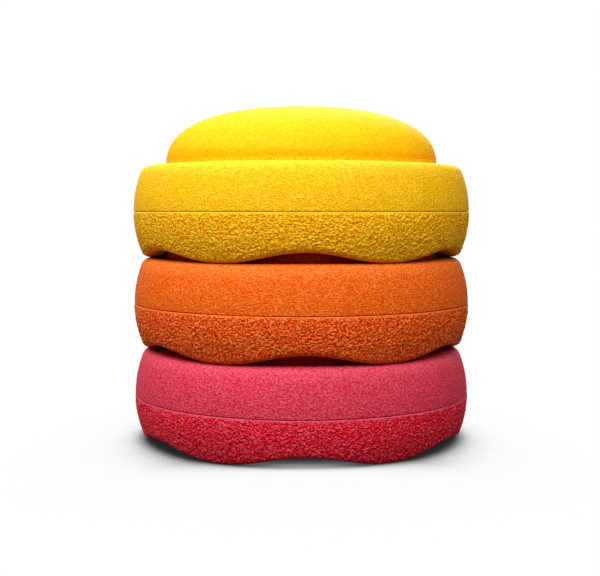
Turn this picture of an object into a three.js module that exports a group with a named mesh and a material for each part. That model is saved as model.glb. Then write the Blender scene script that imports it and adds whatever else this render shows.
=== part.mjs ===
// Three stacking stepping stones for balance play, each one moulding of bead foam.
// Millimetres, +Z up, origin on the floor under the middle of the stack.
import * as THREE from "three";

// Dome: what the child steps on, and what centres the stone above
const domeDiameter = 222; // at the ledge
const domeRise = 48; // ledge to crown
const domeFilletRadius = 1.2; // dome to ledge
const domeShoulderShare = 0.751; // of radius and rise, where both shares are alike; 0.707 is an ellipse

// Band: the thick ring that carries the dome
const bandHeight = 74.1; // feet to ledge
const bandThickness = 25.3; // hollow to outside, at the mould seam
const bulgeRadius = 86.5; // the band's outward bulge, in section
const topCornerRadius = 8; // ledge to band
const lowerCornerRadius = 6; // band to feet

// Mould seam: a fine groove round the band at its widest
const seamHeight = 37.5; // feet to seam
const seamWidth = 1;
const seamDepth = 0.9;

// Wavy rim: feet with arches between them
const footCount = 6;
const footPadWidth = 6.4; // flat part of a foot, along the rim
const archHeight = 8.2; // rim above the feet, half way between two feet

// Hollow under the stone, which goes over the dome of the stone below
const domeClearance = 1.2; // dome to the mouth of the hollow, at the side
const mouthCornerRadius = 3; // feet to hollow
const crownThickness = 38; // ceiling of the hollow to the dome's crown
const hollowShoulderShare = 0.84; // as on the dome

// Stack
const seatGap = 0.3; // feet to the ledge that they stand on
const stackPitch = bandHeight + seatGap;
const stones = [
  { name: "bottom_stone", color: 0xc8324a },
  { name: "middle_stone", color: 0xe06a28 },
  { name: "top_stone", color: 0xf0bc1e },
];

// Steps along each stretch of the section, and from foot to foot
const hollowSteps = 9;
const cornerSteps = 3;
const lowerBandSteps = 4;
const upperBandSteps = 3;
const domeSteps = 9;
const archSteps = 8;

const domeRadius = domeDiameter / 2;
const mouthRadius = domeRadius + domeClearance;
const stoneRadius = mouthRadius + bandThickness;
const hollowDepth = bandHeight + domeRise - crownThickness;
const bulgeCentre = new THREE.Vector2(stoneRadius - bulgeRadius, seamHeight);

// A point on a circle in the section's plane
function onCircle(centre, radius, angle) {
  return new THREE.Vector2(centre.x + radius * Math.cos(angle), centre.y + radius * Math.sin(angle));
}

// Points along an arc, both ends included
function arc(centre, radius, from, to, steps) {
  const points = [];
  for (let step = 0; step <= steps; step += 1) {
    points.push(onCircle(centre, radius, from + ((to - from) * step) / steps));
  }
  return points;
}

// Centre of a corner's circle that touches the bulge from inside, at a given height
function cornerCentre(radius, height) {
  const reach = bulgeRadius - radius;
  const drop = height - bulgeCentre.y;
  return new THREE.Vector2(bulgeCentre.x + Math.sqrt(reach * reach - drop * drop), height);
}

// Angle at which the corner's circle meets the bulge
function meetingAngle(centre) {
  return Math.atan2(centre.y - bulgeCentre.y, centre.x - bulgeCentre.x);
}

// Rounded outline that stands upright at its foot and lies flat at its top, from a height up to the axis
function roundedCap(radius, rise, shoulderShare, fromHeight, steps) {
  const power = Math.log(0.5) / Math.log(shoulderShare);
  const start = Math.asin((fromHeight / rise) ** (power / 2));
  const points = [];
  for (let step = 0; step < steps; step += 1) {
    const angle = start + ((Math.PI / 2 - start) * step) / steps;
    const out = Math.cos(angle) ** (2 / power);
    const up = Math.sin(angle) ** (2 / power);
    points.push(new THREE.Vector2(radius * out, rise * up));
  }
  points.push(new THREE.Vector2(0, rise));
  return points;
}

// The hollow, from its ceiling on the axis down its wall and round the inner edge of the rim
function hollowOutline(rimHeight) {
  const edge = new THREE.Vector2(mouthRadius + mouthCornerRadius, rimHeight + mouthCornerRadius);
  const wall = roundedCap(mouthRadius, hollowDepth, hollowShoulderShare, edge.y, hollowSteps);
  const corner = arc(edge, mouthCornerRadius, Math.PI, Math.PI * 1.5, cornerSteps);
  return [...wall.reverse(), ...corner.slice(1)];
}

// The band's outside, from the rim's outer edge up to the ledge, with the seam's groove
function bandOutline(rimHeight) {
  const lower = cornerCentre(lowerCornerRadius, rimHeight + lowerCornerRadius);
  const upper = cornerCentre(topCornerRadius, bandHeight - topCornerRadius);
  const grooveAngle = Math.asin(seamWidth / 2 / bulgeRadius);
  const lowerEnd = meetingAngle(lower);
  const upperEnd = meetingAngle(upper);
  return [
    ...arc(lower, lowerCornerRadius, -Math.PI / 2, lowerEnd, cornerSteps),
    ...arc(bulgeCentre, bulgeRadius, lowerEnd, -grooveAngle, lowerBandSteps).slice(1),
    new THREE.Vector2(stoneRadius - seamDepth, seamHeight),
    ...arc(bulgeCentre, bulgeRadius, grooveAngle, upperEnd, upperBandSteps),
    ...arc(upper, topCornerRadius, upperEnd, Math.PI / 2, cornerSteps).slice(1),
  ];
}

// The dome, from the fillet on the ledge up to the crown on the axis
function domeOutline() {
  const cap = roundedCap(domeRadius, domeRise, domeShoulderShare, domeFilletRadius, domeSteps);
  const fillet = new THREE.Vector2(cap[0].x + domeFilletRadius, domeFilletRadius);
  const points = [...arc(fillet, domeFilletRadius, Math.PI * 1.5, Math.PI, cornerSteps), ...cap.slice(1)];
  return points.map((point) => new THREE.Vector2(point.x, point.y + bandHeight));
}

// Half of the stone's section where the rim is at a given height above the feet
function section(rimHeight) {
  return [...hollowOutline(rimHeight), ...bandOutline(rimHeight), ...domeOutline()];
}

// Angles round the stone at which the section is drawn, counted from the first foot
const footAngle = (2 * Math.PI) / footCount;
const footMiddleRadius = (mouthRadius + mouthCornerRadius + cornerCentre(lowerCornerRadius, lowerCornerRadius).x) / 2;
const padAngle = footPadWidth / 2 / footMiddleRadius;
const archAngle = footAngle / 2 - padAngle;

function sectionAngles() {
  const angles = [];
  for (let foot = 0; foot < footCount; foot += 1) {
    angles.push(foot * footAngle);
    for (let step = 0; step <= archSteps; step += 1) {
      angles.push(foot * footAngle + padAngle + (2 * archAngle * step) / archSteps);
    }
  }
  return angles;
}

// Height of the rim above the feet at an angle: flat on a foot, then one smooth wave over the arch
function rimHeightAt(angle) {
  const nearestFoot = Math.round(angle / footAngle) * footAngle;
  const past = Math.max(Math.abs(angle - nearestFoot) - padAngle, 0);
  return (archHeight * (1 - Math.cos((Math.PI * past) / archAngle))) / 2;
}

// One stone: a turned body whose section follows the wavy rim
function stoneGeometry() {
  const angles = sectionAngles();
  const geometry = new THREE.LatheGeometry(section(0), angles.length);
  const position = geometry.getAttribute("position");
  let vertex = 0;
  for (const angle of [...angles, 0]) {
    for (const point of section(rimHeightAt(angle))) {
      position.setXYZ(vertex, point.x * Math.cos(angle), point.x * Math.sin(angle), point.y);
      vertex += 1;
    }
  }
  geometry.computeVertexNormals();
  return geometry;
}

const stack = new THREE.Group();
stones.forEach((stone, level) => {
  const foam = new THREE.MeshStandardMaterial({ color: stone.color, roughness: 0.85, metalness: 0 });
  const mesh = new THREE.Mesh(stoneGeometry(), foam);
  mesh.name = stone.name;
  mesh.position.z = level * stackPitch;
  stack.add(mesh);
});

export default stack;
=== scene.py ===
import math

import bmesh
import bpy
import numpy as np
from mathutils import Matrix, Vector, noise


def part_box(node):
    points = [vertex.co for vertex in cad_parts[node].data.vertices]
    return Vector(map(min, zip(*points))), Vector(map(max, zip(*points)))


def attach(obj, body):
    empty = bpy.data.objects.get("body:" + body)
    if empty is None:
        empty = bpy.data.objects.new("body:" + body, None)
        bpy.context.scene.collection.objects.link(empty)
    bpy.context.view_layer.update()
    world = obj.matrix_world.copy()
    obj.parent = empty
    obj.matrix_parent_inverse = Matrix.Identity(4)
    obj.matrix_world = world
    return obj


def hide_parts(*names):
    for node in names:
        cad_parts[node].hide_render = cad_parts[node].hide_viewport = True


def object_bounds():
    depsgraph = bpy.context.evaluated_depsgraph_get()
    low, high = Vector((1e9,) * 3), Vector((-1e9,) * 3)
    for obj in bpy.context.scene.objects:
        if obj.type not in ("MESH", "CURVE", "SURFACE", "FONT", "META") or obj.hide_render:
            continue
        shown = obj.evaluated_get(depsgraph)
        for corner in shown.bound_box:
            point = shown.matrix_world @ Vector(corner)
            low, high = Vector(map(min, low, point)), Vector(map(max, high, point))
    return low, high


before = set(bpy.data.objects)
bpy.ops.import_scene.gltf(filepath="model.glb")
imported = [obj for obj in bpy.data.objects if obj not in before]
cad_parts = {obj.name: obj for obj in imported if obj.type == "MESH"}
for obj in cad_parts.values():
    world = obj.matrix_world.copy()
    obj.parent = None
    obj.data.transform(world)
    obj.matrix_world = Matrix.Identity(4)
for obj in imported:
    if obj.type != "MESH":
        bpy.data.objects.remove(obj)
cad_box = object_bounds()

# Three foam stepping stones, stacked dome into hollow. The frame's solids have their plain shape.
# Here each stone is drawn again with a finer mesh, the grain of its mould and its foam's finish.
MM = 0.001

# The stone's section, as in the frame
DOME_RADIUS = 111 * MM
DOME_RISE = 48 * MM
DOME_FILLET = 1.2 * MM
DOME_SHOULDER_SHARE = 0.751
BAND_HEIGHT = 74.1 * MM
BAND_THICKNESS = 25.3 * MM
BULGE_RADIUS = 86.5 * MM
TOP_CORNER = 8 * MM
LOWER_CORNER = 6 * MM
DOME_CLEARANCE = 1.2 * MM
MOUTH_CORNER = 3 * MM
CROWN_THICKNESS = 38 * MM
HOLLOW_SHOULDER_SHARE = 0.84

# The wavy rim, as in the frame
FOOT_COUNT = 6
FOOT_PAD_WIDTH = 6.4 * MM
ARCH_HEIGHT = 8.2 * MM

# The mould's seam: a groove, with a smooth lip below it.
# Its section gives each row's place across it in its widths, and its depth in the whole depth.
# Two close rows above it keep its edge crisp, at so many half widths from its middle.
SEAM_HEIGHT = 37.5 * MM
SEAM_WIDTH = 1.0 * MM
SEAM_DEPTH = 0.9 * MM
SEAM_LIP = 0.9 * MM
SEAM_SECTION = ((-0.25, 0.8), (0, 1), (0.25, 0.8), (0.5, 0))
SEAM_EDGE = 1.25
SEAM_SHOULDER = 1.5

# Coarse grain of the mould's lower half: humps in the mesh, and finer folds that the shader draws.
# Widths run round the stone, and heights up it. The humps have a share in the tone, next to the folds:
# painted shade in their pits and a painted highlight on their tops.
HUMP_WIDTH = 1.8 * MM
HUMP_HEIGHT = 1.2 * MM
HUMP_DEPTH = 0.55 * MM
HUMP_SHARE = 0.12
FOLD_WIDTH = 1.45 * MM
FOLD_HEIGHT = 0.92 * MM
FOLD_DEPTH = 0.55 * MM

# Noise of two sizes makes the humps, and a third bends them, so that they run into each other.
# The third is vector noise, which Blender starts from the clock unless it has a seed.
HUMP_STRENGTH = 1.3
SMALL_HUMP_STRENGTH = 0.7
SMALL_HUMP_SCALE = 1.9
HUMP_BEND = 0.35
HUMP_BEND_SCALE = 0.8
GRAIN_SEED = 1

# The grain fades out towards the seam's lip and the rim's, which are smooth
RIM_LIP = 1.3 * MM
GRAIN_FADE = 0.6 * MM

# The upper half has the folds alone, shallow. Their painted shade in the pits and painted highlight on the
# tips are faintest on the dome.
SKIN_DEPTH = 0.4 * MM
BAND_RELIEF_SHADING = 1.0
DOME_RELIEF_SHADING = 0.54

# Noise values of the folds that get the tone of a pit, with painted shade, and of a tip, with a painted
# highlight
FOLD_PIT = 0.3
FOLD_TIP = 0.7

# Everywhere the beads that the foam is made of show a little, from the darkest to the lightest
BEAD_SIZE = 3.5 * MM
BEAD_DARKEST = 0.95
BEAD_LIGHTEST = 1.03

# Finish of polypropylene foam
FOAM_ROUGHNESS = 0.65
FOAM_IOR = 1.49
FOAM_SPECULAR = 0.04

# A painted highlight turns the foam paler, most at the band's upper edge and on the seam's lower lip.
# The edge's highlight is full down to one depth below the ledge, and gone at the next.
# Painted shade keeps the tone deeper in the seam's groove, at the foot of the dome and on the rim's smooth
# lip.
EDGE_HIGHLIGHT = 0.32
EDGE_HIGHLIGHT_FULL = 5.5 * MM
EDGE_HIGHLIGHT_REACH = 11 * MM
SEAM_LIP_HIGHLIGHT = 0.45
SEAM_SHADE = -0.2
DOME_FOOT_SHADE = -0.6
DOME_FOOT_REACH = 12 * MM
RIM_LIP_SHADE = -0.25

# Sizes that follow from these
MOUTH_RADIUS = DOME_RADIUS + DOME_CLEARANCE
STONE_RADIUS = MOUTH_RADIUS + BAND_THICKNESS
HOLLOW_DEPTH = BAND_HEIGHT + DOME_RISE - CROWN_THICKNESS
BULGE_CENTRE = STONE_RADIUS - BULGE_RADIUS

# Faces round the stone: most where the grain is, fewer on the plain parts
FINE_RING = 1344
MIDDLE_RING = FINE_RING // 2
PLAIN_RING = FINE_RING // 4
COARSE_RING = FINE_RING // 8

# Faces along the section, from the hollow's ceiling round to the dome's crown.
# The dome's first steps are its foot, whose rings have as many faces as the ledge.
HOLLOW_STEPS = 26
MOUTH_STEPS = 5
UNDERSIDE_STEPS = 3
RIM_STEPS = 9
LOWER_BULGE_STEPS = 42
UPPER_BULGE_STEPS = 14
TOP_CORNER_STEPS = 8
LEDGE_STEPS = 3
FILLET_STEPS = 4
DOME_STEPS = 30
DOME_FOOT_STEPS = 20


def srgb(code):
    """Linear colour of an sRGB hex code."""
    channels = [int(code[i : i + 2], 16) / 255 for i in (1, 3, 5)]
    return [c / 12.92 if c <= 0.04045 else ((c + 0.055) / 1.055) ** 2.4 for c in channels]


def rim_height(angle):
    """Height of the rim over the feet: flat on a foot, then one smooth wave over the arch."""
    foot_angle = 2 * math.pi / FOOT_COUNT
    lower_corner_radius = corner_centre(LOWER_CORNER, LOWER_CORNER)
    foot_middle_radius = (MOUTH_RADIUS + MOUTH_CORNER + lower_corner_radius) / 2
    pad_angle = FOOT_PAD_WIDTH / 2 / foot_middle_radius
    arch_angle = foot_angle / 2 - pad_angle
    from_foot = np.abs(angle - np.round(angle / foot_angle) * foot_angle)
    past = np.maximum(from_foot - pad_angle, 0)
    return ARCH_HEIGHT * (1 - np.cos(math.pi * past / arch_angle)) / 2


def corner_centre(radius, height):
    """Distance from the axis of a corner's centre, where the corner touches the bulge from inside."""
    reach = BULGE_RADIUS - radius
    return BULGE_CENTRE + np.sqrt(reach**2 - (height - SEAM_HEIGHT) ** 2)


def meeting_angle(centre, height):
    """Angle of the section at which a corner runs into the bulge."""
    return np.arctan2(height - SEAM_HEIGHT, centre - BULGE_CENTRE)


def spread(start, end, steps):
    """Values from start to end, one row for each step, both ends included."""
    share = np.linspace(0, 1, steps + 1)[:, None]
    return start + (end - start) * share


def rounded_cap(radius, rise, shoulder_share, start, steps):
    """Rows from the height start, where the wall stands upright, up to the axis."""
    power = math.log(0.5) / math.log(shoulder_share)
    first = np.arcsin((start / rise) ** (power / 2))
    angle = spread(first, np.full_like(first, math.pi / 2), steps)
    out = np.maximum(np.cos(angle), 0) ** (2 / power)
    up = np.sin(angle) ** (2 / power)
    return radius * out, rise * up


def stone_rows():
    """The stone's surface from the hollow's ceiling round to the dome's crown.

    Each row is one ring of points: their radius, height, and shares of coarse grain, of painted relief
    shading and of painted light, and the number of faces in the ring.
    """
    rows = []

    def add(radius, height, ring, grain=0.0, relief_shading=BAND_RELIEF_SHADING, painted_light=0.0):
        """Adds the rows of two arrays, with their shares as arrays or as one number for all."""
        shares = (np.broadcast_to(share, radius.shape) for share in (grain, relief_shading, painted_light))
        rows.extend((*row, ring) for row in zip(radius, height, *shares))

    def painted_edge_highlight(height):
        """Painted highlight towards the band's upper edge."""
        return np.interp(BAND_HEIGHT - height, (EDGE_HIGHLIGHT_FULL, EDGE_HIGHLIGHT_REACH), (EDGE_HIGHLIGHT, 0))

    def rim(ring):
        """Heights of the rim at the points of a ring."""
        return rim_height(2 * math.pi * np.arange(ring) / ring)

    # Hollow, from its ceiling down the wall, and the mouth's rounded edge
    low = rim(COARSE_RING)
    start = low + MOUTH_CORNER
    radius, height = rounded_cap(MOUTH_RADIUS, HOLLOW_DEPTH, HOLLOW_SHOULDER_SHARE, start, HOLLOW_STEPS)
    add(radius[::-1], height[::-1], COARSE_RING)
    low = rim(PLAIN_RING)
    turn = spread(np.full_like(low, math.pi), np.full_like(low, 1.5 * math.pi), MOUTH_STEPS)
    mouth = MOUTH_RADIUS + MOUTH_CORNER
    add(mouth + MOUTH_CORNER * np.cos(turn), low + MOUTH_CORNER * (1 + np.sin(turn)), PLAIN_RING)

    # Underside of the rim, and its outer edge
    low = rim(MIDDLE_RING)
    lower = corner_centre(LOWER_CORNER, low + LOWER_CORNER)
    radius = spread(np.full_like(low, mouth), lower, UNDERSIDE_STEPS)[1:-1]
    add(radius, np.broadcast_to(low, radius.shape), MIDDLE_RING)
    low = rim(FINE_RING)
    lower = corner_centre(LOWER_CORNER, low + LOWER_CORNER)
    lower_end = meeting_angle(lower, low + LOWER_CORNER)
    turn = spread(np.full_like(low, -math.pi / 2), lower_end, RIM_STEPS)
    over_rim = LOWER_CORNER * (1 + np.sin(turn))
    fade = np.clip((over_rim - RIM_LIP) / GRAIN_FADE, 0, 1)
    radius = lower + LOWER_CORNER * np.cos(turn)
    # The rim's smooth lip, which faces down, gets painted shade
    add(radius, low + over_rim, FINE_RING, fade, painted_light=RIM_LIP_SHADE * (1 - fade))

    # Bulge below the seam, with the grain under a smooth lip
    lip = math.asin(SEAM_WIDTH / 2 / BULGE_RADIUS)
    turn = spread(lower_end, np.full_like(low, -lip), LOWER_BULGE_STEPS)[1:]
    under_seam = -(turn + lip) * BULGE_RADIUS
    fade = np.clip((under_seam - SEAM_LIP) / GRAIN_FADE, 0, 1)
    radius = BULGE_CENTRE + BULGE_RADIUS * np.cos(turn)
    height = SEAM_HEIGHT + BULGE_RADIUS * np.sin(turn)
    # The smooth lip under the seam gets a painted highlight
    add(radius, height, FINE_RING, fade, painted_light=SEAM_LIP_HIGHLIGHT * (1 - fade))

    # Seam, with painted shade in its groove, deepest at its bottom
    ring = np.ones((1, MIDDLE_RING))
    for across, depth in SEAM_SECTION:
        radius = (STONE_RADIUS - SEAM_DEPTH * depth) * ring
        height = (SEAM_HEIGHT + across * SEAM_WIDTH) * ring
        add(radius, height, MIDDLE_RING, painted_light=SEAM_SHADE * depth)

    # Bulge above the seam, upper corner and ledge
    ring = np.ones(PLAIN_RING)
    upper_height = BAND_HEIGHT - TOP_CORNER
    upper = corner_centre(TOP_CORNER, upper_height)
    upper_end = meeting_angle(upper, upper_height)
    edge = np.full((1, PLAIN_RING), SEAM_EDGE * lip)
    turn = spread(SEAM_SHOULDER * lip * ring, upper_end * ring, UPPER_BULGE_STEPS)
    turn = np.concatenate([edge, turn])
    height = SEAM_HEIGHT + BULGE_RADIUS * np.sin(turn)
    # These rows and the top corner's get a painted highlight near the band's upper edge
    add(BULGE_CENTRE + BULGE_RADIUS * np.cos(turn), height, PLAIN_RING, painted_light=painted_edge_highlight(height))
    turn = spread(upper_end * ring, math.pi / 2 * ring, TOP_CORNER_STEPS)[1:]
    height = upper_height + TOP_CORNER * np.sin(turn)
    add(upper + TOP_CORNER * np.cos(turn), height, PLAIN_RING, painted_light=painted_edge_highlight(height))
    start = DOME_FILLET * ring
    radius, height = rounded_cap(DOME_RADIUS, DOME_RISE, DOME_SHOULDER_SHARE, start, DOME_STEPS)
    foot = radius[0, 0] + DOME_FILLET
    radius_on_ledge = spread(upper * ring, foot * ring, LEDGE_STEPS)[1:-1]
    add(radius_on_ledge, np.full_like(radius_on_ledge, BAND_HEIGHT), PLAIN_RING)

    # Fillet and dome, with half as many faces in its upper rings
    turn = spread(1.5 * math.pi * ring, math.pi * ring, FILLET_STEPS)
    add(foot + DOME_FILLET * np.cos(turn), BAND_HEIGHT + DOME_FILLET * (1 + np.sin(turn)), PLAIN_RING)
    # Painted shade at the dome's foot, by the ledge, fading out up to its reach
    painted_light = DOME_FOOT_SHADE * np.clip(1 - height / DOME_FOOT_REACH, 0, 1)
    height = BAND_HEIGHT + height
    low = slice(1, DOME_FOOT_STEPS)
    add(radius[low], height[low], PLAIN_RING, relief_shading=DOME_RELIEF_SHADING, painted_light=painted_light[low])
    add(radius[DOME_FOOT_STEPS:, ::2], height[DOME_FOOT_STEPS:, ::2], COARSE_RING, relief_shading=DOME_RELIEF_SHADING)
    return rows


def stone_mesh(name, level):
    """Joins the rows into one closed mesh. The first and the last row are points on the axis."""
    rows = stone_rows()
    points, shares, starts = [], [], []
    for index, (radius, height, *row_shares, ring) in enumerate(rows):
        starts.append(len(points))
        at_axis = index in (0, len(rows) - 1)
        angle = 2 * math.pi * np.arange(1 if at_axis else ring) / ring
        count = len(angle)
        radius = 0 * radius if at_axis else radius
        place = [radius[:count] * np.cos(angle), radius[:count] * np.sin(angle), level + height[:count]]
        points.extend(map(tuple, np.stack(place, axis=1)))
        shares.extend(np.stack(row_shares, axis=1)[:count])

    faces = []
    for index in range(len(rows) - 1):
        here, there = starts[index], starts[index + 1]
        ring, next_ring = rows[index][-1], rows[index + 1][-1]
        if index == 0:
            faces += [(here, there + (i + 1) % next_ring, there + i) for i in range(next_ring)]
        elif index == len(rows) - 2:
            faces += [(here + i, here + (i + 1) % ring, there) for i in range(ring)]
        elif ring == next_ring:
            for i in range(ring):
                j = (i + 1) % ring
                faces.append((here + i, here + j, there + j, there + i))
        elif ring < next_ring:
            # The next ring has twice as many points
            for i in range(ring):
                j = (i + 1) % ring
                a, b, c = there + 2 * i, there + 2 * i + 1, there + 2 * j
                faces += [(here + i, b, a), (here + i, here + j, b), (here + j, c, b)]
        else:
            # The next ring has half as many points
            for i in range(next_ring):
                j = (i + 1) % next_ring
                a, b, c = here + 2 * i, here + 2 * i + 1, here + 2 * j
                faces += [(a, b, there + i), (b, there + j, there + i), (b, c, there + j)]

    mesh = bpy.data.meshes.new(name)
    mesh.from_pydata(points, [], faces)
    mesh.update()
    emboss(mesh, *np.transpose(shares))
    mesh.shade_smooth()
    return mesh


def hump(place):
    """Height of the mould's coarse grain at a point, from about -1 in a pit to about 1 on a hump."""
    place = Vector((place.x / HUMP_WIDTH, place.y / HUMP_WIDTH, place.z / HUMP_HEIGHT))
    place += HUMP_BEND * noise.noise_vector(place * HUMP_BEND_SCALE)
    small = noise.noise(place * SMALL_HUMP_SCALE)
    return HUMP_STRENGTH * noise.noise(place) + SMALL_HUMP_STRENGTH * small


def emboss(mesh, grains, relief_shadings, painted_lights):
    """Moves a mesh's points out and in along their normals by the grain.

    It keeps what the foam's tone needs as attributes: shares of grain, of painted relief shading and of
    painted light, and the height of the humps.
    """
    normals = [normal.vector.copy() for normal in mesh.vertex_normals]
    humps = np.zeros(len(grains))
    for index in np.nonzero(grains)[0]:
        vertex = mesh.vertices[index]
        humps[index] = hump(vertex.co)
        vertex.co += normals[index] * (HUMP_DEPTH * grains[index] * humps[index])
    for name, values in (("grain", grains), ("relief_shading", relief_shadings), ("hump", humps * grains), ("painted_light", painted_lights)):
        mesh.attributes.new(name, "FLOAT", "POINT").data.foreach_set("value", values.astype(np.float32))
    mesh.update()


def node(tree, kind, inputs=(), **settings):
    """Adds a node. Its inputs, by name or by place, take a value or another node's output."""
    made = tree.nodes.new(kind)
    for key, value in settings.items():
        setattr(made, key, value)
    for key, value in dict(inputs).items():
        if isinstance(value, bpy.types.NodeSocket):
            tree.links.new(value, made.inputs[key])
        else:
            made.inputs[key].default_value = value
    return made


def sees_studio(tree):
    """1 for a ray that shows the studio, from the camera, off gloss or through glass, and 0 for others."""
    ray = node(tree, "ShaderNodeLightPath").outputs
    gloss = {0: ray["Is Camera Ray"], 1: ray["Is Glossy Ray"]}
    shown = node(tree, "ShaderNodeMath", gloss, operation="MAXIMUM").outputs[0]
    glass = {0: shown, 1: ray["Is Transmission Ray"]}
    return node(tree, "ShaderNodeMath", glass, operation="MAXIMUM").outputs[0]


def bead_foam(name, skin, grain):
    """Expanded polypropylene beads, steam moulded: matte, with the mould's grain in its skin.

    Light that goes from wall to wall in a pit takes up more of the foam's colour, so the pits get painted
    shade in a deeper tone, and the tips of the grain get a painted highlight in a paler one.
    The fine pits take most of the gloss away too, so the specular level is low.
    """
    material = bpy.data.materials.new(name)
    material.use_nodes = True
    tree = material.node_tree
    surface = tree.nodes["Principled BSDF"]
    surface.inputs["Roughness"].default_value = FOAM_ROUGHNESS
    surface.inputs["IOR"].default_value = FOAM_IOR
    surface.inputs["Specular IOR Level"].default_value = FOAM_SPECULAR

    place = node(tree, "ShaderNodeTexCoord").outputs["Object"]
    coarse = node(tree, "ShaderNodeAttribute", attribute_name="grain").outputs["Fac"]
    relief_shading = node(tree, "ShaderNodeAttribute", attribute_name="relief_shading").outputs["Fac"]
    humps = node(tree, "ShaderNodeAttribute", attribute_name="hump").outputs["Fac"]
    painted_light = node(tree, "ShaderNodeAttribute", attribute_name="painted_light").outputs["Fac"]

    # Folds, longer round the stone than up it
    across = (1 / FOLD_WIDTH, 1 / FOLD_WIDTH, 1 / FOLD_HEIGHT)
    stretched = node(tree, "ShaderNodeVectorMath", {0: place, 1: across}, operation="MULTIPLY").outputs[0]
    smooth_noise = {"Vector": stretched, "Scale": 1.0, "Detail": 0.0}
    folds = node(tree, "ShaderNodeTexNoise", smooth_noise).outputs["Fac"]
    depths = {"Value": coarse, "To Min": SKIN_DEPTH, "To Max": FOLD_DEPTH}
    depth = node(tree, "ShaderNodeMapRange", depths).outputs[0]
    height = node(tree, "ShaderNodeMath", {0: folds, 1: depth}, operation="MULTIPLY").outputs[0]
    bump = node(tree, "ShaderNodeBump", {"Height": height, "Distance": 1.0}).outputs["Normal"]
    tree.links.new(bump, surface.inputs["Normal"])

    # Tone by height: painted shade where the mesh and the folds are low, a painted highlight where they are
    # high, and higher where the painted light adds a highlight
    heights = {0: humps, 1: HUMP_SHARE, 2: folds}
    level = node(tree, "ShaderNodeMath", heights, operation="MULTIPLY_ADD").outputs[0]
    span = {"Value": level, "From Min": FOLD_PIT, "From Max": FOLD_TIP, "To Min": -0.5, "To Max": 0.5}
    swing = node(tree, "ShaderNodeMapRange", span).outputs[0]
    swing = node(tree, "ShaderNodeMath", {0: swing, 1: relief_shading, 2: 0.5}, operation="MULTIPLY_ADD").outputs[0]
    swing = node(tree, "ShaderNodeMath", {0: swing, 1: painted_light}, operation="ADD").outputs[0]
    tones = []
    for pit, body, tip in (skin, grain):
        ramp = node(tree, "ShaderNodeValToRGB", {"Fac": swing})
        stops = ramp.color_ramp.elements
        stops.new(0.5)
        for stop, colour in zip(stops, (pit, body, tip)):
            stop.color = (*srgb(colour), 1)
        tones.append(ramp.outputs["Color"])

    # Where the painted light is negative, painted shade takes the foam towards the coarse grain's tones,
    # which are deeper
    painted_shade = node(tree, "ShaderNodeMath", {0: painted_light, 1: -1.0}, operation="MULTIPLY").outputs[0]
    coarse_or_shaded = node(tree, "ShaderNodeMath", {0: coarse, 1: painted_shade}, operation="MAXIMUM").outputs[0]
    tone = node(tree, "ShaderNodeMix", {0: coarse_or_shaded, 6: tones[0], 7: tones[1]}, data_type="RGBA").outputs[2]

    # Beads, each a little lighter or darker than the next
    beads = node(tree, "ShaderNodeTexVoronoi", {"Vector": place, "Scale": 1 / BEAD_SIZE}).outputs["Color"]
    bead = node(tree, "ShaderNodeSeparateColor", {"Color": beads}).outputs[0]
    shades = {"Value": bead, "To Min": BEAD_DARKEST, "To Max": BEAD_LIGHTEST}
    shade = node(tree, "ShaderNodeMapRange", shades).outputs[0]
    tone = node(tree, "ShaderNodeVectorMath", {0: tone, "Scale": shade}, operation="SCALE").outputs["Vector"]
    tree.links.new(tone, surface.inputs["Base Color"])
    return material


# Stone, foam, and the foam's colour in a pit with painted shade, between, and on a tip with a painted
# highlight: on its skin, then on its coarse grain
STONES = (
    (
        "bottom_stone", "red_bead_foam",
        ("#BE1F35", "#CB354A", "#DA5266"), ("#C6020E", "#E61328", "#EF5A70"),
    ),
    (
        "middle_stone", "orange_bead_foam",
        ("#CE4700", "#DD5B09", "#EC7834"), ("#C22A00", "#EB4E00", "#FF8B49"),
    ),
    (
        "top_stone", "yellow_bead_foam",
        ("#E3A200", "#EEB302", "#F8C634"), ("#E48600", "#FEB100", "#FFD63A"),
    ),
)

noise.seed_set(GRAIN_SEED)
for stone, slot, skin, grain in STONES:
    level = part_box(stone)[0].z
    piece = bpy.data.objects.new(f"{stone}_foam", stone_mesh(f"{stone}_foam", level))
    bpy.context.scene.collection.objects.link(piece)
    piece.data.materials.append(bead_foam(slot, skin, grain))
    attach(piece, stone)
    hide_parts(stone)

# Camera, fitted to the photograph's outlines and seams
CAMERA_AZIMUTH = math.radians(-1.4)
CAMERA_DISTANCE = 903 * MM
CAMERA_ASIDE = 1.03 * MM
CAMERA_HEIGHT = 187.9 * MM
CAMERA_PITCH = math.radians(4.144)
CAMERA_LENS = 65.1
CAMERA_NEAREST = 50 * MM

camera = bpy.data.objects.new("camera", bpy.data.cameras.new("camera"))
camera.data.lens = CAMERA_LENS
camera.data.clip_start = CAMERA_NEAREST
camera.rotation_euler = (math.pi / 2 - CAMERA_PITCH, 0, CAMERA_AZIMUTH)
away = Vector((math.sin(CAMERA_AZIMUTH), -math.cos(CAMERA_AZIMUTH), 0))
right = Vector((math.cos(CAMERA_AZIMUTH), math.sin(CAMERA_AZIMUTH), 0))
camera.location = away * CAMERA_DISTANCE - right * CAMERA_ASIDE + Vector((0, 0, CAMERA_HEIGHT))
bpy.context.scene.collection.objects.link(camera)
bpy.context.scene.camera = camera
bpy.context.scene.view_settings.view_transform = "Standard"

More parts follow.
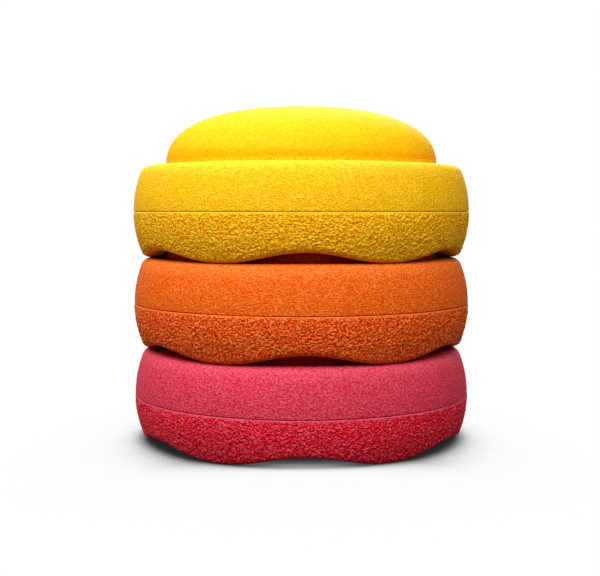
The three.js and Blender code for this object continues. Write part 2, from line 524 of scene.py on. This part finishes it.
# Floor and world: white where they show, and darker as light on the stones, so that undersides stay dim.
# The curve gives the floor's painted shadow, its linear grey by the share of the sky that is open over it,
# and a wholly open sky counts more at the stones' sides than in front of them.
FLOOR_HALF_WIDTH = 12
SHADOW_REACH = 220 * MM
SHADOW_CURVE = (
    (0, 0.012), (0.2, 0.022), (0.3, 0.06), (0.4, 0.12), (0.5, 0.33), (0.56, 0.5),
    (0.6, 0.68), (0.64, 0.85), (0.68, 0.93), (0.72, 0.97), (0.85, 0.995), (1, 1),
)
SIDE_OPENNESS = 1.1
FRONT_OPENNESS = 0.9
FLOOR_TO_STONES = 0.1
WORLD_LIGHT = 0.06

# Painted light under the front arch: its strength, the cosine of the angle from the front at which it
# starts, and the distances from the axis at which it starts and is full
FRONT = (0, -1, 0)
FRONT_LIGHT = 0.425
FRONT_LIGHT_SIDE = 0.77
FRONT_LIGHT_START = 81 * MM
FRONT_LIGHT_END = 115 * MM

# Softboxes: name, place and width in metres, and watts
SOFTBOXES = (
    ("high_front_softbox", (0, -1.0, 1.4), 0.9, 18.6),
    ("wide_front_softbox", (-0.5, -1.3, 1.5), 1.6, 23.7),
    ("high_left_softbox", (-1.0, -0.1, 1.4), 0.9, 14.6),
    ("high_right_softbox", (1.05, -0.8, 1.2), 0.9, 6.0),
    ("high_back_softbox", (0, 1.0, 1.4), 0.9, 12.0),
    ("back_softbox", (0.4, 1.7, 0.9), 0.9, 14.0),
)


def paper_floor():
    """White paper sheet with the stones' shadow painted on it: dark under and close to them, and white
    beyond.
    """
    sheet = bmesh.new()
    bmesh.ops.create_grid(sheet, x_segments=1, y_segments=1, size=FLOOR_HALF_WIDTH)
    mesh = bpy.data.meshes.new("floor")
    sheet.to_mesh(mesh)
    sheet.free()
    floor = bpy.data.objects.new("floor", mesh)
    bpy.context.scene.collection.objects.link(floor)

    paper = bpy.data.materials.new("white_paper")
    paper.use_nodes = True
    tree = paper.node_tree
    tree.nodes.clear()
    open_sky = node(tree, "ShaderNodeAmbientOcclusion", {"Distance": SHADOW_REACH}).outputs["AO"]

    # The shadow is painted: the stones keep some of the light from behind off the paper in front of them,
    # and less off that at their sides. A painted pool of light stands for the front softboxes reaching in
    # under the front arch.
    place = node(tree, "ShaderNodeTexCoord").outputs["Object"]
    outward = node(tree, "ShaderNodeVectorMath", {0: place}, operation="NORMALIZE").outputs["Vector"]
    facing = {0: outward, 1: FRONT}
    ahead = node(tree, "ShaderNodeVectorMath", facing, operation="DOT_PRODUCT").outputs["Value"]
    distance = node(tree, "ShaderNodeVectorMath", {0: place}, operation="LENGTH").outputs["Value"]
    sector = {"Value": ahead, "From Min": FRONT_LIGHT_SIDE, "To Max": FRONT_LIGHT}
    light = node(tree, "ShaderNodeMapRange", sector).outputs[0]
    zone = {"Value": distance, "From Min": FRONT_LIGHT_START, "From Max": FRONT_LIGHT_END, "To Max": light}
    least = node(tree, "ShaderNodeMapRange", zone).outputs[0]
    openness = {"Value": ahead, "To Min": SIDE_OPENNESS, "To Max": FRONT_OPENNESS}
    most = node(tree, "ShaderNodeMapRange", openness).outputs[0]
    level = node(tree, "ShaderNodeMapRange", {"Value": open_sky, "To Min": least, "To Max": most}).outputs[0]
    shadow = node(tree, "ShaderNodeValToRGB", {"Fac": level})
    stops = shadow.color_ramp.elements
    for share, _ in SHADOW_CURVE[1:-1]:
        stops.new(share)
    for stop, (_, grey) in zip(stops, SHADOW_CURVE):
        stop.color = (grey, grey, grey, 1)
    seen = node(tree, "ShaderNodeEmission", {"Color": shadow.outputs["Color"]}).outputs["Emission"]
    lit = node(tree, "ShaderNodeBsdfDiffuse", {"Color": (*3 * [FLOOR_TO_STONES], 1)}).outputs["BSDF"]
    blend = node(tree, "ShaderNodeMixShader", {0: sees_studio(tree), 1: lit, 2: seen}).outputs["Shader"]
    node(tree, "ShaderNodeOutputMaterial", {"Surface": blend})
    mesh.materials.append(paper)


def white_world():
    """World that is white where it shows, and lights the stones a little from all round."""
    world = bpy.data.worlds.new("studio")
    bpy.context.scene.world = world
    world.use_nodes = True
    tree = world.node_tree
    strengths = {"Value": sees_studio(tree), "To Min": WORLD_LIGHT, "To Max": 1.0}
    level = node(tree, "ShaderNodeMapRange", strengths)
    sky = tree.nodes["Background"]
    sky.inputs["Color"].default_value = (1, 1, 1, 1)
    tree.links.new(level.outputs["Result"], sky.inputs["Strength"])


def softbox(name, place, width, watts):
    """A square softbox that faces the middle of the stack."""
    lamp = bpy.data.lights.new(name, "AREA")
    lamp.size = width
    lamp.energy = watts
    box = bpy.data.objects.new(name, lamp)
    box.location = place
    middle = (Vector(cad_box[0]) + Vector(cad_box[1])) / 2
    box.rotation_euler = (middle - box.location).to_track_quat("-Z", "Y").to_euler()
    bpy.context.scene.collection.objects.link(box)


paper_floor()
white_world()
for name, place, width, watts in SOFTBOXES:
    softbox(name, Vector(place), width, watts)
